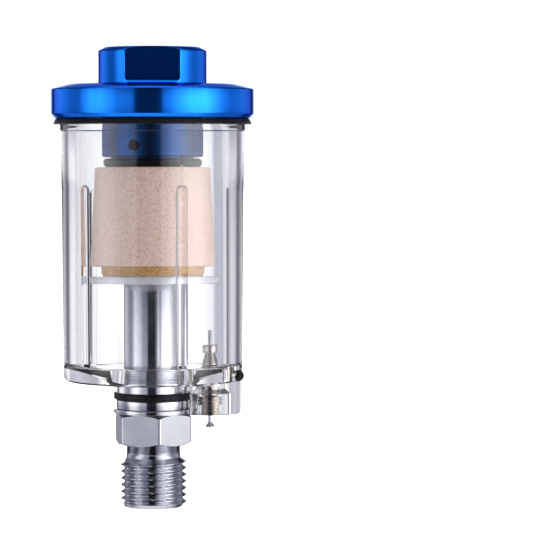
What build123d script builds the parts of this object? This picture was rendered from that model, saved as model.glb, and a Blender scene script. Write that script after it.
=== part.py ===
from build123d import *
import os
from math import cos, radians, sin

# In-line air filter and moisture trap for an airbrush air line.
# Millimetres. Z is the axis of the two ports, Z = 0 is the free end of the outlet thread,
# -Y is the front and +X is the side that carries the drain valve.

# --- driving dimensions ---------------------------------------------------------------
FLANGE_RADIUS = 20.0          # the widest part, a blue anodised cap
TOTAL_HEIGHT = 90.9
THREAD_MAJOR = 13.157 / 2     # G 1/4 outlet thread, over the crests
THREAD_MINOR = 11.445 / 2     # G 1/4 inlet thread, over the crests of the tapped hole

# outlet stem: pipe thread, neck, hexagon, disc, tube and stud, in one turned piece,
# with a polished ring between its disc and the bowl's washer
THREAD_TOP = 9.7
THREAD_CHAMFER = 0.8
NECK_RADIUS = 5.35
HEX_BOTTOM = 12.4
HEX_TOP = 18.6
HEX_ACROSS_FLATS = 14.0
HEX_TURN = 8.9                # degrees from the front to the nearest corner
DISC_RADIUS = 7.8
DISC_TOP = 19.5
COLLAR_RADIUS = 7.3
COLLAR_TOP = 21.37
TUBE_RADIUS = 5.75
TUBE_TOP = 45.0
STUD_RADIUS = 3.5
STUD_TOP = 65.0
OUTLET_BORE = 3.6
STUD_BORE = 2.2
CROSS_HOLE = 1.0
CROSS_HOLE_HEIGHTS = (50.0, 53.5)

# bowl
HUB_RADIUS = 7.7
HUB_BOTTOM = 22.82
HUB_BORE = 5.83
BASE_RADIUS = 17.75
BASE_BOTTOM = 25.1
BASE_ROUNDING = 1.1
FLOOR = 28.0
WALL_TOP_RADIUS = 18.15
BOWL_COLLAR_RADIUS = 18.35
BOWL_COLLAR_BOTTOM = 74.4
BOWL_COLLAR_TOP = 75.76
INSIDE_TOP_RADIUS = 15.45
INSIDE_FLOOR_RADIUS = 15.3
LIP_RADIUS = 16.9
LIP_TOP = 79.4
RIB_COUNT = 5
RIB_FIRST = 20.0              # degrees from the front towards the drain side
RIB_RADIUS = 1.0
RIB_CENTRE = 15.1
RIB_BOTTOM = 28.2
RIB_TOP = 64.0

# drain boss, with the side port and its ball
DRAIN_X = 11.3
BOSS_RADIUS = 6.1
BOSS_BOTTOM = 18.47
BOSS_RELIEF = 8.45            # room round the hexagon and its disc
BOSS_THREAD = 2.6
BOSS_BORE = 1.95
BOSS_CONE_BOTTOM = 22.6
BOSS_CONE_TOP = 23.5
BALL_RADIUS = 1.15
BALL_FROM_DRAIN = 8.1
BALL_Z = 26.4
SIDE_PORT = 0.8
PORT_TURN = -48.3             # the port leaves the drain valve between the right side and the front

# head
BOSS_TOP_RADIUS = 10.7
HEAD_FLATS = 18.5             # across the two spanner flats
FLAT_CUTTER = 1.2             # corner radius that the cutter leaves at the foot of a flat
FLANGE_TOP = 83.6
FLANGE_SHOULDER = 82.7
FLANGE_SHOULDER_RADIUS = 16.95
FLANGE_EDGE = 77.8
HEAD_UNDERSIDE = 76.89
HEAD_UNDERSIDE_RADIUS = 19.2
GROOVE_IN = 15.1
GROOVE_OUT = 17.05
GROOVE_TOP = 79.8
STEM_RADIUS = 10.0
STEM_BOTTOM = 69.62
RING_NECK = 8.2
RING_NECK_BOTTOM = 67.8
SPIGOT_RADIUS = 5.5
SPIGOT_BOTTOM = 56.0
SOCKET_RADIUS = 3.58
SOCKET_TOP = 65.6
INLET_DEPTH = 11.5
INLET_PASSAGE = 4.5
INLET_FLOOR = 70.3
AIR_HOLE_RADIUS = 1.1
AIR_HOLE_HEIGHT = 71.8
AIR_HOLE_FIRST = -20.8        # degrees from the front
AIR_HOLE_COUNT = 3

# seals and filter
RING_SECTION = 0.77
RING_HEIGHT = 68.6
GASKET_IN = 17.0
GASKET_OUT_TOP = 19.1
GASKET_OUT_BOTTOM = 19.5
WASHER_RADIUS = 7.8
PLATE_RADIUS = 13.27
PLATE_TOP = 46.4
WASHER_THIN = 0.3
ELEMENT_RADIUS = 10.2
ELEMENT_INSIDE = 7.4
ELEMENT_TOP = 66.45
SHROUD_TOP = 67.7
SHROUD_LID = 0.95
SHROUD_BOTTOM = 48.5
SHROUD_TOP_RADIUS = 11.4
SHROUD_BOTTOM_RADIUS = 12.35
SHROUD_WALL = 0.95

# drain valve core
PIN_RADIUS = 0.4
PIN_BOTTOM = 15.6
PIN_TOP = 35.75
PIN_HEAD_RADIUS = 0.86
PIN_HEAD_TOP = 16.6
PIN_SHOULDER_RADIUS = 1.0
PIN_SHOULDER = (22.7, 23.0)
PLUG_RADIUS = 2.5
PLUG_HOLE = 1.0
PLUG_BOTTOM = 18.3
PLUG_TOP = 22.2
PLUG_FLAT = 2.9               # width left between the two key slots
PLUG_SLOT_TOP = 20.4
BARREL_RADIUS = 1.75
BARREL_BOTTOM = 22.25
BARREL_TOP = 28.3
BARREL_BORE = 1.2
BARREL_BORE_TOP = 27.2
BARREL_SEAT = 0.65
CORE_SEAL_BOTTOM = 24.0
CORE_SEAL_TOP = 26.0
POPPET_BOTTOM = 28.7
POPPET_FOOT = 1.65
POPPET_WAIST = 1.0
POPPET_COLLAR = (31.25, 32.87)
POPPET_COLLAR_RADIUS = 1.52
SPRING_RADIUS = 0.93
SPRING_WIRE = 0.13
SPRING_PITCH = 0.62

GAP = 0.02                    # between pieces that touch


def turned(*outline):
    """A solid turned about Z from a closed outline of (radius, height) points."""
    wire = Wire.make_polygon([Vector(r, 0, z) for r, z in outline], close=True)
    return revolve(Face(wire), Axis.Z)


def tube(inner, outer, bottom, top):
    return turned((inner, bottom), (outer, bottom), (outer, top), (inner, top))


def rod(radius, bottom, top):
    return turned((0, bottom), (radius, bottom), (radius, top), (0, top))


def at_drain(shape):
    return Pos(DRAIN_X, 0, 0) * shape


def from_front(angle):
    """Turns a shape made towards the front, -Y, by an angle towards +X."""
    return Rot(0, 0, angle)


def rim(part, radius, height):
    """The circular edges of a turned part at one radius and height."""
    return [
        e
        for e in part.edges().filter_by(GeomType.CIRCLE)
        if abs(e.radius - radius) < 1e-3 and abs(e.arc_center.Z - height) < 1e-3
    ]


def forward_drill(radius, height, start, end):
    """A round bar towards the front, from one distance off the axis to another."""
    bar = Cylinder(radius, end - start, align=(Align.CENTER, Align.CENTER, Align.MIN))
    return Pos(0, -start, height) * Rot(90, 0, 0) * bar


def head_cap():
    top_chamfer, chamfer_drop = 1.3, 0.7
    mouth = THREAD_MINOR + 1.0
    inlet_end = TOTAL_HEIGHT - INLET_DEPTH
    body = turned(
        (mouth, TOTAL_HEIGHT),
        (BOSS_TOP_RADIUS - top_chamfer, TOTAL_HEIGHT),
        (BOSS_TOP_RADIUS, TOTAL_HEIGHT - chamfer_drop),
        (BOSS_TOP_RADIUS, FLANGE_TOP),
        (FLANGE_SHOULDER_RADIUS, FLANGE_TOP),
        (FLANGE_RADIUS, FLANGE_SHOULDER),
        (FLANGE_RADIUS, FLANGE_EDGE),
        (HEAD_UNDERSIDE_RADIUS, HEAD_UNDERSIDE),
        (GROOVE_OUT, HEAD_UNDERSIDE),
        (GROOVE_OUT, GROOVE_TOP),
        (GROOVE_IN, GROOVE_TOP),
        (GROOVE_IN, HEAD_UNDERSIDE),
        (STEM_RADIUS, HEAD_UNDERSIDE),
        (STEM_RADIUS, STEM_BOTTOM + 0.25),
        (STEM_RADIUS - 0.25, STEM_BOTTOM),
        (RING_NECK, STEM_BOTTOM),
        (RING_NECK, RING_NECK_BOTTOM),
        (SPIGOT_RADIUS, RING_NECK_BOTTOM),
        (SPIGOT_RADIUS, SPIGOT_BOTTOM),
        (SOCKET_RADIUS, SPIGOT_BOTTOM),
        (SOCKET_RADIUS, SOCKET_TOP),
        (0, SOCKET_TOP + 1.6),
        (0, INLET_FLOOR),
        (INLET_PASSAGE, INLET_FLOOR),
        (INLET_PASSAGE, inlet_end),
        (THREAD_MINOR, inlet_end),
        (THREAD_MINOR, TOTAL_HEIGHT - 1.0),
    )
    cutter_depth = 6.0
    cutter = Pos(0, -HEAD_FLATS / 2 - cutter_depth / 2, FLANGE_TOP + 5) * Box(30, cutter_depth, 10)
    foot = cutter.edges().filter_by(Axis.X).group_by(Axis.Z)[0].sort_by(Axis.Y)[-1]
    cutter = fillet(foot, FLAT_CUTTER)
    for turn in (0, 180):
        body -= from_front(turn) * cutter
    for i in range(AIR_HOLE_COUNT):
        hole = forward_drill(AIR_HOLE_RADIUS, AIR_HOLE_HEIGHT, INLET_PASSAGE - 1, STEM_RADIUS + 1)
        body -= from_front(AIR_HOLE_FIRST + i * 360 / AIR_HOLE_COUNT) * hole
    return body


def outlet_stem():
    end_radius = THREAD_MAJOR - THREAD_CHAMFER
    runout = THREAD_MAJOR - NECK_RADIUS
    outline = turned(
        (OUTLET_BORE + 0.5, 0),
        (end_radius, 0),
        (THREAD_MAJOR, THREAD_CHAMFER),
        (THREAD_MAJOR, THREAD_TOP - runout * 0.6),
        (NECK_RADIUS, THREAD_TOP),
        (NECK_RADIUS, HEX_BOTTOM + 0.5),
        (DISC_RADIUS - 1.5, HEX_BOTTOM + 0.5),
        (DISC_RADIUS - 1.5, HEX_TOP),
        (DISC_RADIUS, HEX_TOP),
        (DISC_RADIUS, DISC_TOP),
        (TUBE_RADIUS, DISC_TOP),
        (TUBE_RADIUS, TUBE_TOP),
        (STUD_RADIUS, TUBE_TOP),
        (STUD_RADIUS, STUD_TOP - 0.6),
        (STUD_RADIUS - 0.6, STUD_TOP),
        (0, STUD_TOP),
        (0, CROSS_HOLE_HEIGHTS[-1] + 2.5),
        (STUD_BORE, CROSS_HOLE_HEIGHTS[-1] + 1.2),
        (STUD_BORE, TUBE_TOP - 1.5),
        (OUTLET_BORE, TUBE_TOP - 2.9),
        (OUTLET_BORE, 0.5),
    )
    outline = fillet(rim(outline, DISC_RADIUS, HEX_TOP) + rim(outline, DISC_RADIUS, DISC_TOP), 0.3)
    hex_height = HEX_TOP - HEX_BOTTOM
    across_corners = HEX_ACROSS_FLATS / cos(radians(30))
    prism = extrude(RegularPolygon(HEX_ACROSS_FLATS / 2, 6, major_radius=False), hex_height)
    corner = prism.vertices().sort_by(Axis.Y)[0]
    # the hexagon's nearest corner stands a few degrees off the front
    corner_angle = Vector(corner.X, corner.Y).get_signed_angle(Vector(0, -1), Vector(0, 0, 1))
    prism = Pos(0, 0, HEX_BOTTOM) * Rot(0, 0, corner_angle + HEX_TURN) * prism
    half_corner = across_corners / 2
    flat = HEX_ACROSS_FLATS / 2
    chamfer_rise = (half_corner - flat + 0.1) * 0.58
    bevel = turned(
        (OUTLET_BORE, HEX_BOTTOM),
        (flat - 0.1, HEX_BOTTOM),
        (half_corner, HEX_BOTTOM + chamfer_rise),
        (half_corner, HEX_TOP - chamfer_rise),
        (flat - 0.1, HEX_TOP),
        (OUTLET_BORE, HEX_TOP),
    )
    body = outline + (prism & bevel)
    for height in CROSS_HOLE_HEIGHTS:
        for turn in (0, 90, 180, 270):
            body -= from_front(turn) * forward_drill(CROSS_HOLE, height, 0.5, STUD_RADIUS + 1)
    return body


def collar_ring():
    ring = tube(TUBE_RADIUS + GAP, COLLAR_RADIUS, DISC_TOP, COLLAR_TOP)
    return fillet(rim(ring, COLLAR_RADIUS, COLLAR_TOP), 0.35)


def rib(angle):
    """One round-nosed rib on the inside of the bowl, with a domed top."""
    nose = rod(RIB_RADIUS, RIB_BOTTOM, RIB_TOP - RIB_RADIUS)
    dome = Pos(0, 0, RIB_TOP - RIB_RADIUS) * Sphere(RIB_RADIUS)
    return from_front(angle) * Pos(0, -RIB_CENTRE, 0) * (nose + dome)


def bowl():
    corner_rise = 1.2
    shell = turned(
        (HUB_BORE, HUB_BOTTOM),
        (HUB_RADIUS, HUB_BOTTOM),
        (HUB_RADIUS, BASE_BOTTOM),
        (BASE_RADIUS, BASE_BOTTOM),
        (BASE_RADIUS, FLOOR),
        (WALL_TOP_RADIUS, BOWL_COLLAR_BOTTOM),
        (BOWL_COLLAR_RADIUS, BOWL_COLLAR_BOTTOM),
        (BOWL_COLLAR_RADIUS, BOWL_COLLAR_TOP),
        (LIP_RADIUS, BOWL_COLLAR_TOP),
        (LIP_RADIUS, LIP_TOP - 0.4),
        (LIP_RADIUS - 0.4, LIP_TOP),
        (INSIDE_TOP_RADIUS, LIP_TOP),
        (INSIDE_FLOOR_RADIUS, FLOOR),
        (HUB_BORE, FLOOR),
    )
    boss = at_drain(rod(BOSS_RADIUS, BOSS_BOTTOM, BASE_BOTTOM + 0.5))
    boss -= rod(BOSS_RELIEF, BOSS_BOTTOM - 1, HUB_BOTTOM + 0.4)
    boss -= rod(HUB_BORE, BOSS_BOTTOM, FLOOR)
    foot = [e for e in boss.edges().filter_by(GeomType.CIRCLE)
            if abs(e.radius - BOSS_RADIUS) < 1e-3 and abs(e.arc_center.Z - BOSS_BOTTOM) < 1e-3]
    boss = fillet(foot, 0.5)
    shell = fillet(rim(shell, BASE_RADIUS, BASE_BOTTOM), BASE_ROUNDING)
    shell = fillet(rim(shell, INSIDE_FLOOR_RADIUS, FLOOR), corner_rise)
    body = shell + boss
    wall_limit = rod(BASE_RADIUS - 0.5, FLOOR - 1, LIP_TOP)
    for i in range(RIB_COUNT):
        body += rib(RIB_FIRST + i * 360 / RIB_COUNT) & wall_limit
    body -= at_drain(turned(
        (0, BOSS_BOTTOM - 1),
        (BOSS_THREAD, BOSS_BOTTOM - 1),
        (BOSS_THREAD, BOSS_CONE_BOTTOM),
        (BOSS_BORE, BOSS_CONE_TOP),
        (BOSS_BORE, FLOOR + 1),
        (0, FLOOR + 1),
    ))
    ball_seat = BALL_FROM_DRAIN - BALL_RADIUS - GAP
    for radius, start in ((SIDE_PORT, 0), (BALL_RADIUS + GAP, ball_seat)):
        bore = Cylinder(radius, BALL_FROM_DRAIN + 3 - start, align=(Align.CENTER, Align.CENTER, Align.MIN))
        body -= along_port(start) * Rot(0, 90, 0) * bore
    return body


def along_port(distance):
    """The place on the side port's axis at a distance from the drain valve, facing outwards."""
    return Pos(DRAIN_X, 0, BALL_Z) * Rot(0, 0, PORT_TURN) * Pos(distance, 0, 0)


def bowl_gasket():
    return turned(
        (GASKET_IN, BOWL_COLLAR_TOP),
        (GASKET_OUT_BOTTOM, BOWL_COLLAR_TOP),
        (GASKET_OUT_BOTTOM, BOWL_COLLAR_TOP + 0.25),
        (GASKET_OUT_TOP, HEAD_UNDERSIDE - GAP),
        (GASKET_IN, HEAD_UNDERSIDE - GAP),
    )


def hub_washer():
    top = HUB_BOTTOM - GAP
    ring = tube(TUBE_RADIUS + GAP, WASHER_RADIUS, COLLAR_TOP, top)
    return fillet(rim(ring, WASHER_RADIUS, COLLAR_TOP) + rim(ring, WASHER_RADIUS, top), 0.45)


def stem_o_ring():
    return Pos(0, 0, RING_HEIGHT) * Torus(RING_NECK + GAP + RING_SECTION, RING_SECTION)


def baffle_plate():
    plate = tube(STUD_RADIUS + 0.05, PLATE_RADIUS, TUBE_TOP, PLATE_TOP)
    return fillet(rim(plate, PLATE_RADIUS, TUBE_TOP) + rim(plate, PLATE_RADIUS, PLATE_TOP), 0.3)


def filter_bottom_washer():
    return tube(STUD_RADIUS + 0.1, ELEMENT_RADIUS - 0.3, PLATE_TOP, PLATE_TOP + WASHER_THIN)


def filter_element():
    body = tube(ELEMENT_INSIDE, ELEMENT_RADIUS, PLATE_TOP + WASHER_THIN, ELEMENT_TOP)
    return chamfer(rim(body, ELEMENT_RADIUS, PLATE_TOP + WASHER_THIN), 0.3)


def filter_top_washer():
    return tube(SPIGOT_RADIUS + 0.2, ELEMENT_RADIUS - 0.2, ELEMENT_TOP, SHROUD_TOP - SHROUD_LID)


def filter_shroud():
    lid_bottom = SHROUD_TOP - SHROUD_LID
    skirt = turned(
        (SPIGOT_RADIUS + 0.1, SHROUD_TOP),
        (SHROUD_TOP_RADIUS, SHROUD_TOP),
        (SHROUD_BOTTOM_RADIUS, SHROUD_BOTTOM),
        (SHROUD_BOTTOM_RADIUS - SHROUD_WALL, SHROUD_BOTTOM),
        (SHROUD_TOP_RADIUS - SHROUD_WALL, lid_bottom),
        (SPIGOT_RADIUS + 0.1, lid_bottom),
    )
    return fillet(rim(skirt, SHROUD_TOP_RADIUS, SHROUD_TOP), 0.3)


def valve_plug():
    plug = turned(
        (PLUG_HOLE, PLUG_BOTTOM),
        (PLUG_RADIUS - 0.3, PLUG_BOTTOM),
        (PLUG_RADIUS, PLUG_BOTTOM + 0.3),
        (PLUG_RADIUS, PLUG_TOP - 0.3),
        (PLUG_RADIUS - 0.3, PLUG_TOP),
        (PLUG_HOLE, PLUG_TOP),
    )
    slot_height = PLUG_SLOT_TOP - PLUG_BOTTOM + 1
    for side in (-1, 1):
        slot = Box(6, 4, slot_height, align=(Align.CENTER, Align.MIN, Align.MIN))
        slot = Pos(0, PLUG_FLAT / 2, PLUG_BOTTOM - 1) * slot
        plug -= Rot(0, 0, 90 * side) * slot
    return at_drain(plug)


def valve_barrel():
    neck = BARREL_RADIUS - 0.35
    return at_drain(turned(
        (BARREL_BORE, BARREL_BOTTOM),
        (BARREL_RADIUS, BARREL_BOTTOM),
        (BARREL_RADIUS, CORE_SEAL_BOTTOM),
        (neck, CORE_SEAL_BOTTOM),
        (neck, CORE_SEAL_TOP),
        (BARREL_RADIUS, CORE_SEAL_TOP),
        (BARREL_RADIUS, BARREL_TOP - 0.3),
        (BARREL_RADIUS - 0.3, BARREL_TOP),
        (BARREL_SEAT, BARREL_TOP),
        (BARREL_SEAT, BARREL_BORE_TOP),
        (BARREL_BORE, BARREL_BORE_TOP),
    ))


def valve_core_seal():
    neck = BARREL_RADIUS - 0.35
    return at_drain(turned(
        (neck + GAP, CORE_SEAL_BOTTOM + GAP),
        (BARREL_RADIUS + 0.1, CORE_SEAL_BOTTOM + GAP),
        (BOSS_BORE - GAP, CORE_SEAL_BOTTOM + 0.7),
        (BOSS_BORE - GAP, CORE_SEAL_TOP - 0.5),
        (BARREL_RADIUS, CORE_SEAL_TOP - GAP),
        (neck + GAP, CORE_SEAL_TOP - GAP),
    ))


def valve_pin():
    low, high = PIN_SHOULDER
    pin = turned(
        (0, PIN_BOTTOM),
        (PIN_HEAD_RADIUS, PIN_BOTTOM),
        (PIN_HEAD_RADIUS, PIN_BOTTOM + 0.35),
        (PIN_RADIUS, PIN_HEAD_TOP),
        (PIN_RADIUS, low),
        (PIN_SHOULDER_RADIUS, low),
        (PIN_SHOULDER_RADIUS, high),
        (PIN_RADIUS, high),
        (PIN_RADIUS, PIN_TOP - 0.15),
        (PIN_RADIUS - 0.15, PIN_TOP),
        (0, PIN_TOP),
    )
    return at_drain(pin)


def valve_poppet():
    low, high = POPPET_COLLAR
    return at_drain(turned(
        (PIN_RADIUS, POPPET_BOTTOM),
        (POPPET_FOOT, POPPET_BOTTOM),
        (POPPET_FOOT - 0.1, POPPET_BOTTOM + 0.7),
        (POPPET_WAIST, low),
        (POPPET_COLLAR_RADIUS - 0.2, low),
        (POPPET_COLLAR_RADIUS, low + 0.3),
        (POPPET_COLLAR_RADIUS, high - 0.3),
        (POPPET_COLLAR_RADIUS - 0.25, high),
        (PIN_RADIUS, high),
    ))


def poppet_seal():
    return at_drain(tube(PIN_RADIUS, POPPET_FOOT - 0.15, BARREL_TOP + GAP, POPPET_BOTTOM))


def valve_spring():
    bottom = PIN_SHOULDER[1] + SPRING_WIRE + GAP
    height = BARREL_BORE_TOP - PIN_SHOULDER[1] - 2 * (SPRING_WIRE + GAP)
    path = Helix(SPRING_PITCH, height, SPRING_RADIUS)
    section = Plane(origin=path @ 0, z_dir=path % 0) * Circle(SPRING_WIRE)
    return Pos(DRAIN_X, 0, bottom) * sweep(section, path=path, is_frenet=True)


def side_port_ball():
    return along_port(BALL_FROM_DRAIN) * Sphere(BALL_RADIUS)


PIECES = (
    head_cap, outlet_stem, collar_ring, bowl, bowl_gasket, hub_washer, stem_o_ring, baffle_plate,
    filter_bottom_washer, filter_element, filter_top_washer, filter_shroud,
    valve_plug, valve_barrel, valve_core_seal, valve_pin, valve_poppet, poppet_seal,
    valve_spring, side_port_ball,
)

os.makedirs("parts", exist_ok=True)
for piece in PIECES:
    export_step(piece(), f"parts/{piece.__name__}.step")
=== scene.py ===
import bmesh
import bpy
from math import atan2, cos, pi, radians, sin, sqrt
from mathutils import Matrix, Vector


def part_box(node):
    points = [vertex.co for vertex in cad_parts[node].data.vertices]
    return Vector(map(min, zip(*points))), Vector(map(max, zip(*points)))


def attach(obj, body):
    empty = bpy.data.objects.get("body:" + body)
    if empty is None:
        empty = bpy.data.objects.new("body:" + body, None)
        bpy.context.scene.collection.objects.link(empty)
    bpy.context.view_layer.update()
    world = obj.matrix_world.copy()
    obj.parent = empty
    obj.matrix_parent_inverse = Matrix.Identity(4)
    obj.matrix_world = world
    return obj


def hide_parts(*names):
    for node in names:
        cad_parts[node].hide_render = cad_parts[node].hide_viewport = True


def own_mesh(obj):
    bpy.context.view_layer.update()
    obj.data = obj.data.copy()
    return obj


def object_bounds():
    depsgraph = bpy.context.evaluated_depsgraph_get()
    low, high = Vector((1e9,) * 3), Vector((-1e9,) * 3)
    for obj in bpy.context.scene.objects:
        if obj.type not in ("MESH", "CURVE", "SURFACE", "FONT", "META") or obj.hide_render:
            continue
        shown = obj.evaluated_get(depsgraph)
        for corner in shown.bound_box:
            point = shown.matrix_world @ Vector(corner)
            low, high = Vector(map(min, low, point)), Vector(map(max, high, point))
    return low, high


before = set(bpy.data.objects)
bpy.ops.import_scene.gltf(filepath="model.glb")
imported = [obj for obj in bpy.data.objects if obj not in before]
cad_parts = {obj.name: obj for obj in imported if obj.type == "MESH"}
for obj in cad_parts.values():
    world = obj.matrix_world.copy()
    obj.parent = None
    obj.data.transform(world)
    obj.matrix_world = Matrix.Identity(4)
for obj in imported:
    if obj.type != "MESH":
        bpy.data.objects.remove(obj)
cad_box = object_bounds()

MM = 0.001
ROUND_STEPS = 3             # facets in the rounding of a turned edge
SIDES = 192                 # facets round a turned piece
SMALL_SIDES = 48            # facets round the small pieces of the drain valve
PORT_PITCH = 1.337 * MM     # G 1/4 pipe thread
PORT_DEPTH = 0.856 * MM
THREAD_ROWS = 14            # rows of facets to one turn of the pipe thread
CORE_PITCH = 0.7 * MM       # thread of the drain valve's plug
CORE_DEPTH = 0.3 * MM
# below this height the blue is also painted darker, as painted shade under the head
HEAD_UNDERSIDE = 76.8 * MM  # the head is polished above this height
RIB_FULLNESS = 0.45         # how blunt a rib is: a half is round, less is squarer
SLIDE = 8.4 * MM            # how far the bowl slides down
PIN_ROD = 0.4 * MM
GAP = 0.02 * MM             # room left between two pieces that meet


# --- nodes: the small helpers that every tree below is written with

def put(tree, kind, values=None, **settings):
    """A node with its settings, and its inputs set or linked from values, by name or number."""
    node = tree.nodes.new(kind)
    for key, value in settings.items():
        setattr(node, key, value)
    for key, value in (values or {}).items():
        if isinstance(value, bpy.types.NodeSocket):
            tree.links.new(value, node.inputs[key])
        else:
            node.inputs[key].default_value = value
    return node


def calc(tree, operation, *terms, clamp=False):
    node = tree.nodes.new("ShaderNodeMath")
    node.operation = operation
    node.use_clamp = clamp
    for socket, term in zip(node.inputs, terms):
        if isinstance(term, bpy.types.NodeSocket):
            tree.links.new(term, socket)
        else:
            socket.default_value = term
    return node.outputs[0]


def times(tree, first, second):
    return calc(tree, "MULTIPLY", first, second)


def minus(tree, first, second):
    return calc(tree, "SUBTRACT", first, second)


def socket_on(tree, name, kind, way="INPUT", value=None):
    made = tree.interface.new_socket(name, in_out=way, socket_type="NodeSocket" + kind)
    if value is not None:
        made.default_value = value
    return made


def remap(tree, value, low, high, start, end):
    """The value carried from one range to another, and held at its ends."""
    return put(tree, "ShaderNodeMapRange", {
        "Value": value, "From Min": low, "From Max": high, "To Min": start, "To Max": end}).outputs[0]


def blend_values(tree, share, first, second):
    return put(tree, "ShaderNodeMix", {0: share, 2: first, 3: second}, data_type="FLOAT").outputs[0]


def blend(tree, share, first, second):
    node = put(tree, "ShaderNodeMix", data_type="RGBA")
    for socket, value in ((node.inputs[0], share), (node.inputs[6], first), (node.inputs[7], second)):
        if isinstance(value, bpy.types.NodeSocket):
            tree.links.new(value, socket)
        elif isinstance(value, tuple):
            socket.default_value = (*value, 1.0)
        else:
            socket.default_value = value
    return node.outputs[2]


def noise(tree, place, scale, detail):
    return put(tree, "ShaderNodeTexNoise", {"Vector": place, "Scale": scale, "Detail": detail}).outputs[0]


def object_place(tree):
    return put(tree, "ShaderNodeTexCoord").outputs["Object"]


def split(tree, place):
    return put(tree, "ShaderNodeSeparateXYZ", {0: place}).outputs


def length(tree, across, back):
    """The distance from the axis, given the distances across it and behind it."""
    squares = [times(tree, side, side) for side in (across, back)]
    return calc(tree, "SQRT", calc(tree, "ADD", *squares))


# --- shared surface effects

def new_effect(name, results, **inputs):
    """A shader group with its named values, and the masks and heights that it gives back."""
    tree = bpy.data.node_groups.new(name, "ShaderNodeTree")
    for key, value in inputs.items():
        socket_on(tree, key.replace("_", " "), "Float", value=value)
    for key in results:
        socket_on(tree, key, "Float", "OUTPUT")
    return tree, put(tree, "NodeGroupInput").outputs


def make_turning_marks():
    """Fine rings left by the lathe: they follow the height on a wall and the radius on a face."""
    tree, given = new_effect("turning marks", ("Lines", "Patches"),
                             Axis_X=0.0, Fineness=9000.0, Variation=0.5)
    place = object_place(tree)
    xyz = split(tree, place)
    radius = length(tree, minus(tree, xyz[0], given["Axis X"]), xyz[1])
    ring = put(tree, "ShaderNodeCombineXYZ", {0: radius, 2: xyz[2]}).outputs[0]
    lines = noise(tree, ring, given["Fineness"], 2.0)
    patches = minus(tree, noise(tree, place, 260.0, 3.0), 0.5)
    patches = calc(tree, "MULTIPLY_ADD", patches, given["Variation"], 0.5)
    put(tree, "NodeGroupOutput", {"Lines": lines, "Patches": patches})
    return tree


def make_edge_wear():
    """A mask of the rubbed outer edges, broken up so that no edge is worn evenly."""
    tree, given = new_effect("edge wear", ("Mask",), Start=0.53, End=0.62, Breakup=900.0)
    sharp = put(tree, "ShaderNodeNewGeometry").outputs["Pointiness"]
    edge = put(tree, "ShaderNodeMapRange", {
        "Value": sharp, "From Min": given["Start"], "From Max": given["End"]},
        interpolation_type="SMOOTHSTEP").outputs[0]
    chips = noise(tree, object_place(tree), given["Breakup"], 4.0)
    mask = calc(tree, "MULTIPLY", edge, remap(tree, chips, 0.42, 0.62, 0.0, 1.0), clamp=True)
    put(tree, "NodeGroupOutput", {"Mask": mask})
    return tree


def make_grains():
    """Round grains packed side by side, with a random tone for each grain, a height for its dome and a mask
    of the gaps between grains.
    """
    tree, given = new_effect("grains", ("Height", "Shade", "Pores"), Grains_per_Metre=4000.0)
    cells = put(tree, "ShaderNodeTexVoronoi", {
        "Vector": object_place(tree), "Scale": given["Grains per Metre"]}, feature="F1").outputs
    dome = minus(tree, 1.0, cells["Distance"])
    shade = put(tree, "ShaderNodeSeparateColor", {0: cells["Color"]}).outputs[0]
    # the gaps between grains; the materials darken their colour here as painted shade
    pores = remap(tree, cells["Distance"], 0.45, 0.75, 0.0, 1.0)
    put(tree, "NodeGroupOutput", {"Height": dome, "Shade": shade, "Pores": pores})
    return tree


def make_specks():
    """Fine dust and moulding flecks: a few small specks and a broad, faint unevenness."""
    tree, given = new_effect("specks", ("Specks", "Clouds"), Speck_Scale=2600.0, Cut=0.66)
    place = object_place(tree)
    specks = remap(tree, noise(tree, place, given["Speck Scale"], 2.0), given["Cut"], 0.8, 0.0, 1.0)
    put(tree, "NodeGroupOutput", {"Specks": specks, "Clouds": noise(tree, place, 190.0, 4.0)})
    return tree


TURNING, WEAR, GRAINS, SPECKS = make_turning_marks(), make_edge_wear(), make_grains(), make_specks()


# --- materials

def new_material(name, **plain):
    """A material with its shader, whose even values are set on its own sockets."""
    material = bpy.data.materials.new(name)
    material.use_nodes = True
    tree = material.node_tree
    shader = tree.nodes["Principled BSDF"]
    for key, value in plain.items():
        shader.inputs[key.replace("_", " ")].default_value = value
    return material, tree, shader


def effect(tree, group, **values):
    """A shared effect's outputs, placed in a material with the material's own values."""
    node = tree.nodes.new("ShaderNodeGroup")
    node.node_tree = group
    for key, value in values.items():
        node.inputs[key.replace("_", " ")].default_value = value
    return node.outputs


def feed(shader, **sources):
    """Links each source to the shader's input of that name."""
    for key, source in sources.items():
        shader.id_data.links.new(source, shader.inputs[key.replace("_", " ")])


def add_bump(shader, height, strength, depth):
    bump = put(shader.id_data, "ShaderNodeBump", {
        "Height": height, "Strength": strength, "Distance": depth})
    feed(shader, Normal=bump.outputs[0])


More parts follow.
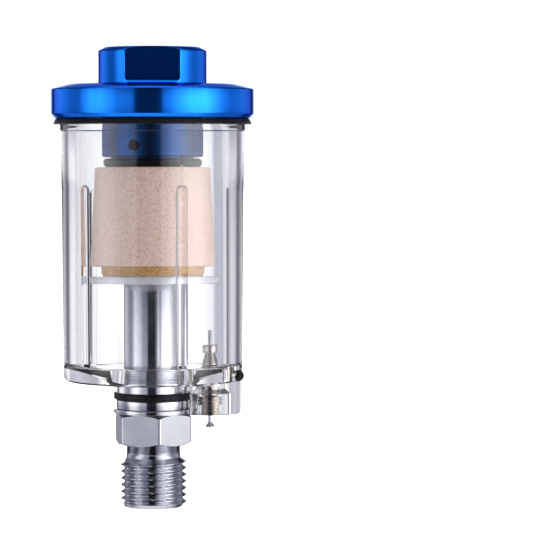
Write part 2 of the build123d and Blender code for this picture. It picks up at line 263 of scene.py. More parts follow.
def blue_anodised():
    """Polished and dyed outside; the stem inside the bowl keeps a duller turned finish, and its colour
    there is painted darker as painted shade under the head.
    """
    material, tree, shader = new_material("blue anodised", Coat_Roughness=0.05, Coat_IOR=1.5,
                                          Specular_Tint=(0.10, 0.38, 0.90, 1.0))
    marks = effect(tree, TURNING, Fineness=7000.0, Variation=0.6)
    wear = effect(tree, WEAR)["Mask"]
    height = split(tree, object_place(tree))[2]
    polished_unshaded = calc(tree, "GREATER_THAN", height, HEAD_UNDERSIDE)
    bright = blend(tree, marks["Patches"], (0.003, 0.160, 0.78), (0.006, 0.205, 0.93))
    # painted shade: below the head's underside the same dye is painted darker, standing in for the shade
    # under the head
    painted_shade_dye = blend(tree, marks["Patches"], (0.010, 0.050, 0.17), (0.018, 0.075, 0.24))
    dye_and_painted_shade = blend(tree, polished_unshaded, painted_shade_dye, bright)
    colour = blend(tree, times(tree, wear, 0.3), dye_and_painted_shade, (0.30, 0.50, 0.80))
    rough = remap(tree, marks["Lines"], 0.3, 0.7, 0.10, 0.17)
    rough = calc(tree, "MULTIPLY_ADD", minus(tree, 1.0, polished_unshaded), 0.16, rough)
    feed(shader, Base_Color=colour, Roughness=rough, Metallic=remap(tree, wear, 0.0, 1.0, 0.97, 1.0),
         Coat_Weight=times(tree, polished_unshaded, 0.14))
    add_bump(shader, marks["Lines"], strength=0.12, depth=0.01 * MM)
    return material


def plated_metal(axis_x=0.0):
    """Bright nickel plating over turned metal, rubbed warmer on its edges."""
    material, tree, shader = new_material("plated metal", Metallic=1.0)
    marks = effect(tree, TURNING, Axis_X=axis_x, Fineness=8000.0, Variation=0.8)
    wear = effect(tree, WEAR, Start=0.5, End=0.6)["Mask"]
    colour = blend(tree, marks["Patches"], (0.46, 0.465, 0.515), (0.61, 0.615, 0.665))
    colour = blend(tree, times(tree, wear, 0.5), colour, (0.82, 0.80, 0.76))
    rough = calc(tree, "ADD", remap(tree, marks["Lines"], 0.3, 0.7, 0.08, 0.2),
                 remap(tree, marks["Patches"], 0.3, 0.7, -0.03, 0.05))
    feed(shader, Base_Color=colour, Roughness=rough)
    add_bump(shader, marks["Lines"], strength=0.2, depth=0.012 * MM)
    return material


def brass(axis_x):
    material, tree, shader = new_material("turned brass", Metallic=1.0)
    marks = effect(tree, TURNING, Axis_X=axis_x, Fineness=12000.0)
    colour = blend(tree, marks["Patches"], (0.50, 0.44, 0.39), (0.66, 0.60, 0.55))
    feed(shader, Base_Color=colour, Roughness=remap(tree, marks["Lines"], 0.3, 0.7, 0.14, 0.3))
    add_bump(shader, marks["Lines"], strength=0.2, depth=0.008 * MM)
    return material


def clear_plastic():
    material, tree, shader = new_material("clear plastic", Transmission_Weight=1.0, IOR=1.57)
    specks = effect(tree, SPECKS, Speck_Scale=1500.0, Cut=0.7)
    tint = blend(tree, specks["Clouds"], (0.955, 0.965, 0.985), (0.985, 0.985, 0.99))
    feed(shader, Base_Color=tint, Roughness=remap(tree, specks["Clouds"], 0.45, 0.75, 0.0, 0.035))
    return material


def black_rubber():
    material, tree, shader = new_material("black rubber", Specular_IOR_Level=0.2)
    specks = effect(tree, SPECKS, Speck_Scale=4200.0, Cut=0.6)
    colour = blend(tree, specks["Specks"], (0.003, 0.003, 0.004), (0.010, 0.010, 0.011))
    feed(shader, Base_Color=colour, Roughness=remap(tree, specks["Clouds"], 0.3, 0.7, 0.30, 0.48))
    add_bump(shader, specks["Clouds"], strength=0.3, depth=0.04 * MM)
    return material


def sintered_bronze():
    """Golden grains fused together, with painted shade darkening the pores between them."""
    material, tree, shader = new_material("sintered bronze")
    grains = effect(tree, GRAINS, Grains_per_Metre=4300.0)
    gold = blend(tree, grains["Shade"], (0.74, 0.39, 0.12), (1.0, 0.70, 0.33))
    # painted shade: the gaps between grains are darkened in the colour
    colour = blend(tree, times(tree, grains["Pores"], 0.6), gold, (0.26, 0.13, 0.05))
    feed(shader, Base_Color=colour, Metallic=remap(tree, grains["Pores"], 0.0, 1.0, 0.35, 0.1),
         Roughness=remap(tree, grains["Shade"], 0.0, 1.0, 0.4, 0.6))
    add_bump(shader, grains["Height"], strength=0.6, depth=0.1 * MM)
    return material


def pale_shroud():
    """Pressed from coarse beige powder: each grain has its own tone, with a few brown flecks and painted
    shade in the gaps between grains.
    """
    material, tree, shader = new_material("pale porous plastic", Specular_IOR_Level=0.3, Sheen_Weight=0.5,
                                          Sheen_Roughness=0.35)
    grains = effect(tree, GRAINS, Grains_per_Metre=3000.0)
    specks = effect(tree, SPECKS, Speck_Scale=2400.0, Cut=0.58)
    beige = blend(tree, specks["Clouds"], (0.52, 0.385, 0.33), (0.60, 0.475, 0.42))
    beige = blend(tree, times(tree, grains["Shade"], 0.45), beige, (0.40, 0.255, 0.195))
    # painted shade: the gaps between grains are darkened in the colour
    beige = blend(tree, times(tree, grains["Pores"], 0.4), beige, (0.40, 0.24, 0.16))
    colour = blend(tree, times(tree, specks["Specks"], 0.9), beige, (0.27, 0.14, 0.08))
    feed(shader, Base_Color=colour, Roughness=remap(tree, grains["Shade"], 0.0, 1.0, 0.55, 0.75))
    add_bump(shader, grains["Height"], strength=0.4, depth=0.1 * MM)
    return material


def satin(name, dark, light, metallic, rough):
    """A plain soft finish for the plate, the washers and the white seal."""
    material, tree, shader = new_material(name, Metallic=metallic)
    specks = effect(tree, SPECKS, Speck_Scale=3600.0, Cut=0.58)
    marks = effect(tree, TURNING, Fineness=5000.0)
    feed(shader, Base_Color=blend(tree, specks["Clouds"], dark, light),
         Roughness=remap(tree, marks["Lines"], 0.3, 0.7, rough, rough + 0.15))
    add_bump(shader, marks["Lines"], strength=0.15, depth=0.01 * MM)
    return material


# --- shapes

def rounded(corners):
    """A closed outline of (radius, height, rounding) corners, with each corner eased."""
    points = []
    for i, (r, z, size) in enumerate(corners):
        here = Vector((r, z))
        to_last = Vector(corners[i - 1][:2]) - here
        to_next = Vector(corners[(i + 1) % len(corners)][:2]) - here
        reach = min(size, 0.49 * to_last.length, 0.49 * to_next.length)
        if reach <= 0:
            points.append(here)
            continue
        start, end = here + to_last.normalized() * reach, here + to_next.normalized() * reach
        for k in range(ROUND_STEPS + 1):
            t = k / ROUND_STEPS
            points.append((1 - t) ** 2 * start + 2 * t * (1 - t) * here + t * t * end)
    return points


def rows(r, low, high, step):
    """Points up a wall at even steps, for a wall that something will be cut into."""
    count = max(1, round((high - low) / step))
    return [Vector((r, low + (high - low) * k / count)) for k in range(count + 1)]


def even_angles(count, first=0.0):
    return [first + 2 * pi * k / count for k in range(count)]


def object_from(mesh, name):
    data = bpy.data.meshes.new(name)
    mesh.to_mesh(data)
    mesh.free()
    made = bpy.data.objects.new(name, data)
    bpy.context.scene.collection.objects.link(made)
    return made


def lathe(name, outline, angles=None, centre_x=0.0, rule=None):
    """A closed outline turned about the vertical. Angles go from the front, -Y, towards +X."""
    angles = angles or even_angles(SIDES)
    mesh = bmesh.new()
    rings = []
    for angle in angles:
        ring = []
        for r, z in outline:
            r = rule(r, z, angle) if rule else r
            ring.append(mesh.verts.new((centre_x + r * sin(angle), -r * cos(angle), z)))
        rings.append(ring)
    for i in range(len(rings)):
        this, after = rings[i], rings[(i + 1) % len(rings)]
        for k in range(len(outline)):
            n = (k + 1) % len(outline)
            mesh.faces.new((this[k], after[k], after[n], this[n]))
    bmesh.ops.remove_doubles(mesh, verts=mesh.verts, dist=1e-7)
    bmesh.ops.dissolve_degenerate(mesh, edges=mesh.edges, dist=1e-8)
    bmesh.ops.recalc_face_normals(mesh, faces=mesh.faces)
    return object_from(mesh, name)


def solid_between(name, ends):
    """A solid from one end face to the other, each given as a list of points."""
    mesh = bmesh.new()
    first, last = [[mesh.verts.new(point) for point in end] for end in ends]
    mesh.faces.new(first)
    mesh.faces.new(last)
    for k in range(len(first)):
        n = (k + 1) % len(first)
        mesh.faces.new((first[k], first[n], last[n], last[k]))
    bmesh.ops.recalc_face_normals(mesh, faces=mesh.faces)
    return object_from(mesh, name)


def cut(piece, tool, operation="DIFFERENCE"):
    """Cuts the tool out of the piece, or joins it on, and throws the tool away."""
    modifier = piece.modifiers.new("cut", "BOOLEAN")
    modifier.operation = operation
    modifier.solver = "EXACT"
    modifier.object = tool
    settle(piece)
    bpy.data.objects.remove(tool)


def settle(piece):
    """Turns what the modifiers show into the piece's own plain mesh."""
    graph = bpy.context.evaluated_depsgraph_get()
    graph.update()
    made = bpy.data.meshes.new_from_object(piece.evaluated_get(graph))
    piece.modifiers.clear()
    piece.data = made


def finish_piece(piece, material, body, nodes, sharp=32):
    """Dresses a piece, hangs it on the empty of its body, and hides the CAD nodes that it stands for."""
    piece.data.materials.clear()
    piece.data.materials.append(material)
    piece.data.polygons.foreach_set("use_smooth", [True] * len(piece.data.polygons))
    piece.data.set_sharp_from_angle(angle=radians(sharp))
    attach(piece, body)
    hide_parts(*nodes)
    return piece


def use_tree(piece, tree, **values):
    """Runs a geometry tree on the piece, with its named inputs, and keeps the plain mesh."""
    modifier = piece.modifiers.new(tree.name, "NODES")
    modifier.node_group = tree
    for item in tree.interface.items_tree:
        key = item.name.replace(" ", "_")
        if item.in_out == "INPUT" and key in values:
            modifier[item.identifier] = values[key]
    settle(piece)


def new_geometry_tree(name, **inputs):
    """A geometry tree with its named sizes, and a material to end with."""
    tree = bpy.data.node_groups.new(name, "GeometryNodeTree")
    socket_on(tree, "Geometry", "Geometry")
    for key, value in inputs.items():
        socket_on(tree, key.replace("_", " "), "Int" if isinstance(value, int) else "Float", value=value)
    socket_on(tree, "Material", "Material")
    socket_on(tree, "Geometry", "Geometry", "OUTPUT")
    return tree, put(tree, "NodeGroupInput").outputs


def end_tree(tree, geometry, material):
    plain = put(tree, "GeometryNodeRealizeInstances", {0: geometry}).outputs[0]
    dressed = put(tree, "GeometryNodeSetMaterial", {0: plain, "Material": material}).outputs[0]
    put(tree, "NodeGroupOutput", {0: dressed})


def radial_move(tree, xyz, axis_x, radius, new_radius):
    """The offset that takes each point straight out or in to a new radius."""
    outward = minus(tree, new_radius, radius)
    share = calc(tree, "DIVIDE", outward, calc(tree, "MAXIMUM", radius, 1e-6))
    across = times(tree, minus(tree, xyz[0], axis_x), share)
    back = times(tree, xyz[1], share)
    return put(tree, "ShaderNodeCombineXYZ", {0: across, 1: back}).outputs[0]


def measure_polar(tree, axis_x):
    """Each point's three coordinates, its radius, and its angle from the front, -Y, towards +X."""
    xyz = split(tree, put(tree, "GeometryNodeInputPosition").outputs[0])
    across = minus(tree, xyz[0], axis_x)
    angle = calc(tree, "ARCTAN2", across, times(tree, xyz[1], -1.0))
    return xyz, length(tree, across, xyz[1]), angle


def within(tree, value, low, high):
    above, below = calc(tree, "GREATER_THAN", value, low), calc(tree, "LESS_THAN", value, high)
    return times(tree, above, below)


def make_thread_tree():
    """Cuts a right-hand thread into a wall: inward from the crests, or outward in a tapped hole."""
    tree, given = new_geometry_tree("cut thread", Axis_X=0.0, Start=0.0, End=0.01, Pitch=0.001,
                                    Depth=0.0005, Wall_Radius=0.006, Tapped=0.0)
    xyz, radius, angle = measure_polar(tree, given["Axis X"])
    turns = calc(tree, "DIVIDE", angle, 2 * pi)
    phase = calc(tree, "FRACT", minus(tree, calc(tree, "DIVIDE", xyz[2], given["Pitch"]), turns))
    flank = calc(tree, "ABSOLUTE", calc(tree, "MULTIPLY_ADD", phase, 2.0, -1.0))
    flat_share = 0.1
    cut_depth = times(tree, remap(tree, flank, flat_share, 1 - flat_share, 0.0, 1.0), given["Depth"])
    outside = calc(tree, "MINIMUM", radius, minus(tree, given["Wall Radius"], cut_depth))
    inside = calc(tree, "MAXIMUM", radius, calc(tree, "ADD", given["Wall Radius"], cut_depth))
    chosen = calc(tree, "MULTIPLY_ADD", minus(tree, inside, outside), given["Tapped"], outside)
    moved = put(tree, "GeometryNodeSetPosition", {
        "Geometry": given["Geometry"], "Selection": within(tree, xyz[2], given["Start"], given["End"]),
        "Offset": radial_move(tree, xyz, given["Axis X"], radius, chosen)}).outputs[0]
    end_tree(tree, moved, given["Material"])
    return tree


def make_rib_tree():
    """Raises round-nosed ribs from the inside wall of a bowl, evenly spaced, with domed tops."""
    tree, given = new_geometry_tree("raise ribs", Count=5.0, First_Angle=0.0, Half_Width=0.001,
                                    Height=0.0012, Bottom=0.0, Top=0.06, Wall_Inside=0.015,
                                    Wall_Middle=0.016)
    xyz, radius, angle = measure_polar(tree, 0.0)
    spacing = calc(tree, "DIVIDE", 2 * pi, given["Count"])
    turned = minus(tree, angle, given["First Angle"])
    nearest = times(tree, calc(tree, "ROUND", calc(tree, "DIVIDE", turned, spacing)), spacing)
    aside = times(tree, radius, calc(tree, "SINE", minus(tree, turned, nearest)))
    dome_foot = minus(tree, given["Top"], given["Half Width"])
    above = calc(tree, "DIVIDE", minus(tree, xyz[2], dome_foot), given["Half Width"])
    above = calc(tree, "MAXIMUM", above, 0.0)
    sideways = calc(tree, "DIVIDE", aside, given["Half Width"])
    off_middle = calc(tree, "ADD", times(tree, sideways, sideways), times(tree, above, above))
    left = calc(tree, "MAXIMUM", minus(tree, 1.0, off_middle), 0.0)
    nose = times(tree, calc(tree, "POWER", left, RIB_FULLNESS), given["Height"])
    on_wall = times(tree, within(tree, radius, given["Wall Inside"], given["Wall Middle"]),
                    calc(tree, "GREATER_THAN", xyz[2], given["Bottom"]))
    moved = put(tree, "GeometryNodeSetPosition", {
        "Geometry": given["Geometry"], "Selection": on_wall,
        "Offset": radial_move(tree, xyz, 0.0, radius, minus(tree, radius, nose))}).outputs[0]
    end_tree(tree, moved, given["Material"])
    return tree


def make_spring_tree():
    """A coil of wire at an even pitch."""
    tree, given = new_geometry_tree("coil spring", Axis_X=0.0, Bottom=0.0, Length=0.004, Radius=0.001,
                                    Wire=0.0001, Turns=7.0)
    coil = put(tree, "GeometryNodeCurveSpiral", {
        "Resolution": 24, "Rotations": given["Turns"], "Start Radius": given["Radius"],
        "End Radius": given["Radius"], "Height": given["Length"]}).outputs[0]
    place = put(tree, "ShaderNodeCombineXYZ", {0: given["Axis X"], 2: given["Bottom"]}).outputs[0]
    lifted = put(tree, "GeometryNodeTransform", {"Geometry": coil, "Translation": place}).outputs[0]
    section = put(tree, "GeometryNodeCurvePrimitiveCircle",
                  {"Resolution": 10, "Radius": given["Wire"]}).outputs[0]
    wire = put(tree, "GeometryNodeCurveToMesh",
               {"Curve": lifted, "Profile Curve": section, "Fill Caps": True}).outputs[0]
    end_tree(tree, wire, given["Material"])
    return tree


def make_grain_tree():
    """Packs small round grains, each of its own size, on the part of a wall between two heights."""
    tree, given = new_geometry_tree("pack grains", Bottom=0.0, Top=0.01, Wall=0.01, Spacing=0.0002,
                                    Grain=0.0001, Seed=0)
    xyz, radius, _ = measure_polar(tree, 0.0)
    on_band = times(tree, within(tree, xyz[2], given["Bottom"], given["Top"]),
                    calc(tree, "GREATER_THAN", radius, given["Wall"]))
    most_per_square_metre, smallest, largest = 6e7, 0.75, 1.25
    points = put(tree, "GeometryNodeDistributePointsOnFaces", {
        "Mesh": given["Geometry"], "Selection": on_band, "Distance Min": given["Spacing"],
        "Density Max": most_per_square_metre, "Seed": given["Seed"]},
        distribute_method="POISSON").outputs[0]
    ball = put(tree, "GeometryNodeMeshIcoSphere", {"Radius": given["Grain"], "Subdivisions": 1}).outputs[0]
    size = tree.nodes.new("FunctionNodeRandomValue")
    size.data_type = "FLOAT"
    size.inputs[2].default_value, size.inputs[3].default_value = smallest, largest
    tree.links.new(given["Seed"], size.inputs["Seed"])
    grains = put(tree, "GeometryNodeInstanceOnPoints",
                 {"Points": points, "Instance": ball, "Scale": size.outputs[1]}).outputs[0]
    both = tree.nodes.new("GeometryNodeJoinGeometry")
    tree.links.new(grains, both.inputs[0])
    tree.links.new(given["Geometry"], both.inputs[0])
    end_tree(tree, both.outputs[0], given["Material"])
    return tree


THREAD, RIBS = make_thread_tree(), make_rib_tree()
SPRING, LOOSE_GRAINS = make_spring_tree(), make_grain_tree()

BLUE, PLATED, CLEAR, RUBBER = blue_anodised(), plated_metal(), clear_plastic(), black_rubber()
BRONZE, SHROUD = sintered_bronze(), pale_shroud()
FROSTED = satin("frosted metal", (0.60, 0.60, 0.64), (0.72, 0.72, 0.76), 0.55, 0.38)
FIBRE = satin("pressed fibre", (0.42, 0.36, 0.30), (0.52, 0.46, 0.40), 0.0, 0.7)
SEAL = satin("white seal", (0.62, 0.60, 0.56), (0.72, 0.70, 0.66), 0.0, 0.4)


def turned_size(node):
    """The axis, radius, bottom and top of a turned CAD node."""
    low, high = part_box(node)
    return (low.x + high.x) / 2, (high.x - low.x) / 2, low.z, high.z


# --- head

def make_head():
    """The blue head, with its tapped inlet, spanner flats, stem and air holes."""
    _, flange, foot, top = turned_size("head_cap")
    inlet_wall, passage = 5.7225 * MM, 4.5 * MM
    inlet_end, inlet_floor = top - 11.5 * MM, top - 20.6 * MM
    mouth, inlet_chamfer = inlet_wall + 1.0 * MM, top - 1.0 * MM
    boss, stem, neck, spigot, socket = 10.7 * MM, 10.0 * MM, 8.2 * MM, 5.5 * MM, 3.58 * MM
    boss_top, boss_chamfer = boss - 1.3 * MM, top - 0.7 * MM
    shoulder, shoulder_edge, under, under_edge = top - 7.3 * MM, 16.95 * MM, top - 14.01 * MM, 19.2 * MM
    flange_top, flange_foot = top - 8.2 * MM, top - 13.1 * MM
    groove_in, groove_out, groove_top = 15.1 * MM, 17.05 * MM, top - 11.1 * MM
    stem_foot, neck_foot, bevel = foot + 13.62 * MM, foot + 11.8 * MM, 0.25 * MM
    socket_end, drill_tip = foot + 9.6 * MM, foot + 11.2 * MM
    fine, soft, blend = 0.12 * MM, 0.25 * MM, 0.35 * MM
    start = rounded([
        (mouth, top, fine), (boss_top, top, soft), (boss, boss_chamfer, soft),
        (boss, shoulder, blend), (shoulder_edge, shoulder, soft), (flange, flange_top, soft),
        (flange, flange_foot, fine), (under_edge, under, fine), (groove_out, under, fine),
        (groove_out, groove_top, 0), (groove_in, groove_top, 0), (groove_in, under, fine),
        (stem, under, 0.3 * MM), (stem, stem_foot + bevel, fine), (stem - bevel, stem_foot, fine),
        (neck, stem_foot, 0), (neck, neck_foot, fine), (spigot, neck_foot, 0), (spigot, foot, fine),
        (socket, foot, fine), (socket, socket_end, 0), (0, drill_tip, 0),
        (0, inlet_floor, 0), (passage, inlet_floor, 0), (passage, inlet_end, fine),
        (inlet_wall, inlet_end, 0)])
    wall = rows(inlet_wall, inlet_end + 0.05 * MM, inlet_chamfer, PORT_PITCH / THREAD_ROWS)
    head = lathe("anodised_head", start + wall)
    use_tree(head, THREAD, Start=inlet_end + 0.1 * MM, End=top - 0.3 * MM, Pitch=PORT_PITCH,
             Depth=PORT_DEPTH, Wall_Radius=inlet_wall, Tapped=1.0, Material=BLUE)
    flat_at, cutter_corner, half_length = 9.25 * MM, 1.2 * MM, 15 * MM
    for side in (-1, 1):
        cut(head, flat_cutter(side, flat_at, shoulder, top, cutter_corner, half_length))
    air_hole, near_end, far_end = 1.1 * MM, 3.5, 11
    centre = Vector((0, 0, stem_foot + 2.18 * MM))
    for turn in (-20.8, 99.2, 219.2):
        outward = Vector((sin(radians(turn)), -cos(radians(turn)), 0))
        cut(head, bar(air_hole, centre + outward * near_end * MM, centre + outward * far_end * MM))
    return finish_piece(head, BLUE, "head", ["head_cap"], sharp=28)


def flat_cutter(side, flat_at, foot, top, corner, half_length):
    """The path of a milling cutter along one spanner flat, with its corner radius at the foot."""
    outer, steps = 13 * MM, 8
    profile = [(outer, foot), (flat_at + corner, foot)]
    for k in range(1, steps + 1):
        a = pi / 2 * k / steps
        profile.append((flat_at + corner - corner * sin(a), foot + corner - corner * cos(a)))
    profile += [(flat_at, top + 1 * MM), (outer, top + 1 * MM)]
    return solid_between("cutter", [
        [(x, side * y, z) for y, z in profile] for x in (-half_length, half_length)])


def bar(radius, start, end):
    """A level round bar from one point to another."""
    outward = (end - start).normalized()
    across = Vector((-outward.y, outward.x, 0))
    return solid_between("bar", [[
        centre + across * radius * cos(a) + Vector((0, 0, radius * sin(a)))
        for a in even_angles(SMALL_SIDES)] for centre in (start, end)])


# --- outlet stem

def make_stem():
    """The outlet thread, neck, hexagon, disc, tube and stud, in one piece bored from below."""
    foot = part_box("outlet_stem")[0].z
    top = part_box("outlet_stem")[1].z
    crest, neck, disc = 6.5785 * MM, 5.35 * MM, 7.8 * MM
    thread_top, hex_low, hex_high = foot + 9.7 * MM, foot + 12.4 * MM, foot + 18.6 * MM
    disc_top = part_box("collar_ring")[0].z
    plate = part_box("baffle_plate")[0].z
    tube, stud, bore = 5.75 * MM, 3.5 * MM, 3.6 * MM
    flat, corner = 7.0 * MM, 7.0 * MM / cos(pi / 6)
    chamfer, row_step = 0.8 * MM, 0.06 * MM
    fine, soft, lip = 0.05 * MM, 0.1 * MM, 0.5 * MM
    stud_chamfer, stud_bore, drill_end, drill_tip = 0.6 * MM, 2.2 * MM, top - 10.3 * MM, top - 9.0 * MM
    step_top, step_foot = plate - 1.5 * MM, plate - 2.9 * MM
    hex_rows = rows(corner, hex_low, hex_low + chamfer, row_step)
    hex_rows += rows(corner, hex_high - chamfer, hex_high, row_step)
    end = rounded([(bore, foot + lip, 0), (bore + lip, foot, fine), (crest - chamfer, foot, fine),
                   (crest, foot + chamfer, 0)])[1:]
    wall = rows(crest, foot + chamfer + fine, thread_top - 0.75 * MM, PORT_PITCH / THREAD_ROWS)
    rest = rounded([(neck, thread_top, soft), (neck, hex_low, soft)])
    upper = rounded([
        (disc - 0.4 * MM, hex_high, 0), (disc, hex_high + 0.08 * MM, 0.08 * MM),
        (disc, disc_top, 0.22 * MM),
        (tube, disc_top, 0), (tube, plate, soft), (stud, plate, 0), (stud, top - stud_chamfer, soft),
        (stud - stud_chamfer, top, soft), (0, top, 0), (0, drill_tip, 0), (stud_bore, drill_end, 0),
        (stud_bore, step_top, 0), (bore, step_foot, 0), (bore, foot + lip, 0)])
    hex_turn, eased = radians(8.9), 0.5 * MM
    corner_reach = pi / 6 - atan2((flat - eased) * sin(pi / 6) / cos(pi / 6), flat)

    def hexagon(r, z, angle):
        """The hexagon's radius where a point of the outline lies on it, under its turned chamfers."""
        if abs(r - corner) > 1e-9:
            return r
        step = (angle - hex_turn) % (pi / 3) - pi / 6
        off_corner = pi / 6 - abs(step)
        eased_centre = (flat - eased) / cos(pi / 6)
        side = flat / cos(step)
        if off_corner < corner_reach:
            side = eased_centre * cos(off_corner) + sqrt(eased ** 2 - (eased_centre * sin(off_corner)) ** 2)
        rise, slope = min(z - hex_low, hex_high - z), 0.58
        return min(side, flat - 0.1 * MM + rise / slope)

    angles = []
    for turn in even_angles(6, hex_turn):
        angles += [turn + corner_reach * (j / 5 - 1) for j in range(11)]
        angles += [turn + radians(a) for a in range(4, 57, 2)]
    stem = lathe("outlet_stem_plated", end + wall + rest + hex_rows + upper, angles, rule=hexagon)
    use_tree(stem, THREAD, Start=foot - 1 * MM, End=thread_top, Pitch=PORT_PITCH, Depth=PORT_DEPTH,
             Wall_Radius=crest, Material=PLATED)
    return finish_piece(stem, PLATED, "stem", ["outlet_stem"], sharp=24)


# --- bowl

def rib_angles(count, first, half_width, wall):
    """Facet edges round the bowl, close together over each rib and wide apart between them."""
    spare = 1.15
    reach = half_width / wall * spare
    spacing = 2 * pi / count
    fine, coarse = 28, 44
    found = []
    for middle in even_angles(count, first):
        found += [middle - reach + 2 * reach * i / fine for i in range(fine)]
        start, end = middle + reach, middle + spacing - reach
        found += [start + (end - start) * i / coarse for i in range(coarse)]
    return found


def make_bowl():
    """The clear bowl, with its ribs, its hub, the boss of the drain valve and the side port."""
    low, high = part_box("bowl")
    _, _, seat, _ = turned_size("bowl_gasket")
    hub, hub_bore = 7.7 * MM, 5.83 * MM
    hub_foot, base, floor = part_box("hub_washer")[1].z + GAP, 25.1 * MM, 28.0 * MM
    base_radius, top_radius, collar = 17.75 * MM, 18.15 * MM, high.x
    lip, lip_chamfer, inside_top, inside_floor = 16.9 * MM, 0.4 * MM, 15.45 * MM, 15.3 * MM
    rib_count, rib_half, rib_height, rib_first, rib_top = 5, 1.1 * MM, 0.5 * MM, radians(20), 64.0 * MM
    fillet, base_rounding, fine, soft = 1.2 * MM, 1.1 * MM, 0.1 * MM, 0.15 * MM
    line, line_half, line_depth, line_easing = 28.5 * MM, 0.16 * MM, 0.3 * MM, 0.06 * MM

    def wall_at(z):
        return inside_floor + (inside_top - inside_floor) * (z - floor) / (high.z - floor)

    dome_foot = rib_top - rib_half
    dome_rows = (0.995, 0.97, 0.93, 0.86, 0.78, 0.68, 0.55, 0.4, 0.2, 0.0)
    rib_rows = [rib_top + 0.15 * MM] + [dome_foot + rib_half * share for share in dome_rows]
    rib_rows += [dome_foot - (dome_foot - floor - fillet) * k / 12 for k in range(1, 13)]
    outline = rounded([
        (hub_bore, hub_foot, soft), (hub, hub_foot, 0.2 * MM), (hub, base, 0.3 * MM),
        (base_radius, base, base_rounding), (base_radius, line - line_half, line_easing),
        (base_radius - line_depth, line, 0.05 * MM), (base_radius, line + line_half, line_easing),
        (top_radius, seat - 1.36 * MM, soft), (collar, seat - 1.3 * MM, soft), (collar, seat, fine),
        (lip, seat, fine), (lip, high.z - lip_chamfer, fine), (lip - lip_chamfer, high.z, fine),
        (inside_top, high.z, fine)])
    outline += [Vector((wall_at(z), z)) for z in rib_rows]
    outline += rounded([(inside_floor, floor + fillet * 1.01, 0), (inside_floor, floor, fillet),
                        (hub_bore, floor, 0.2 * MM), (hub_bore, floor - 1 * MM, 0)])[1:-1]
    bowl = lathe("clear_bowl", outline, rib_angles(rib_count, rib_first, rib_half, inside_floor))
    use_tree(bowl, RIBS, Count=float(rib_count), First_Angle=rib_first, Half_Width=rib_half,
             Height=rib_height, Bottom=floor + fillet * 0.7, Top=rib_top, Wall_Inside=14.8 * MM,
             Wall_Middle=15.9 * MM, Material=CLEAR)
    drain_x = turned_size("valve_plug")[0]
    cut(bowl, drain_boss(drain_x, low.z, base + 0.4 * MM), "UNION")
    cut(bowl, drain_bore(drain_x, low.z, floor))
    cut_side_port(bowl, drain_x)
    return finish_piece(bowl, CLEAR, "bowl_body", ["bowl"], sharp=30)


def drain_boss(drain_x, foot, top):
    """The boss under the base, cleared round the hexagon and the hub."""
    radius, relief, hub_bore, hub_top, beyond = 6.1 * MM, 8.45 * MM, 5.9 * MM, 23.2 * MM, 1 * MM
    boss = lathe("boss", rounded([(0, foot, 0), (radius, foot, 0.5 * MM), (radius, top, 0), (0, top, 0)]),
                 even_angles(128), drain_x)
    cleared = rounded([(0, foot - beyond, 0), (relief, foot - beyond, 0), (relief, hub_top, 0.2 * MM),
                       (hub_bore, hub_top, 0), (hub_bore, top + beyond, 0), (0, top + beyond, 0)])
    cut(boss, lathe("relief", cleared, even_angles(160)))
    return boss


def drain_bore(drain_x, foot, floor):
    """What is drilled out for the drain valve: wide for its plug, then narrow for its barrel."""
    wide, narrow, wide_end, narrow_start = 2.6 * MM, 1.95 * MM, 22.6 * MM, 23.5 * MM
    beyond, easing = 1 * MM, 0.1 * MM
    drilled = rounded([(0, foot - beyond, 0), (wide, foot - beyond, 0), (wide, wide_end, easing),
                       (narrow, narrow_start, easing), (narrow, floor + beyond, 0), (0, floor + beyond, 0)])
    return lathe("drain_bore", drilled, even_angles(64), drain_x)


def cut_side_port(bowl, drain_x):
    """The passage from the drain valve out to the black ball, and the ball's seat."""
    low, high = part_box("side_port_ball")
    ball, seat, passage = (low + high) / 2, (high.z - low.z) / 2 + GAP, 0.8 * MM
    start = Vector((drain_x, 0, ball.z))
    outward = (ball - start).normalized()
    cut(bowl, bar(passage, start, start + outward * 12 * MM))
    cut(bowl, bar(seat, ball - outward * seat, ball + outward * 3 * MM))


# --- seals, washers and filter

def make_ring(name, node, body, material, bore, easing, sides=SIDES):
    """A plain ring, washer or tube in the place of a CAD node, with eased edges."""
    axis, radius, bottom, top = turned_size(node)
    corners = [(bore, bottom, easing), (radius, bottom, easing), (radius, top, easing), (bore, top, easing)]
    ring = lathe(name, rounded(corners), even_angles(sides), axis)
    return finish_piece(ring, material, body, [node])


def make_gasket():
    """The gasket between head and bowl: its outer edge flares from the top down to a thin lip."""
    _, radius, bottom, top = turned_size("bowl_gasket")
    bore, upper, lip_top = 17.0 * MM, 19.1 * MM, bottom + 0.28 * MM
    ring = lathe("rubber_gasket", rounded([
        (bore, bottom, 0.1 * MM), (radius, bottom, 0.12 * MM), (radius, lip_top, 0.15 * MM),
        (upper, top, 0.2 * MM), (bore, top, 0.1 * MM)]))
    return finish_piece(ring, RUBBER, "bowl_body", ["bowl_gasket"])


def make_o_ring():
    _, radius, bottom, top = turned_size("stem_o_ring")
    section = (top - bottom) / 2
    circle = [Vector((radius - section + section * cos(a), bottom + section + section * sin(a)))
              for a in even_angles(20)]
    return finish_piece(lathe("rubber_o_ring", circle), RUBBER, "head", ["stem_o_ring"])


def make_shroud():
    """The cup over the filter, a little wider at its open foot than at its lid."""
    _, radius, bottom, top = turned_size("filter_shroud")
    top_radius, hole, wall = 11.4 * MM, 5.6 * MM, 0.95 * MM
    shroud = lathe("filter_skirt", rounded([
        (hole, top, 0.1 * MM), (top_radius, top, 0.35 * MM), (radius, bottom, 0.15 * MM),
        (radius - wall, bottom, 0.15 * MM), (top_radius - wall, top - wall, 0.3 * MM),
        (hole, top - wall, 0.1 * MM)]))
    return finish_piece(shroud, SHROUD, "stem", ["filter_shroud"])


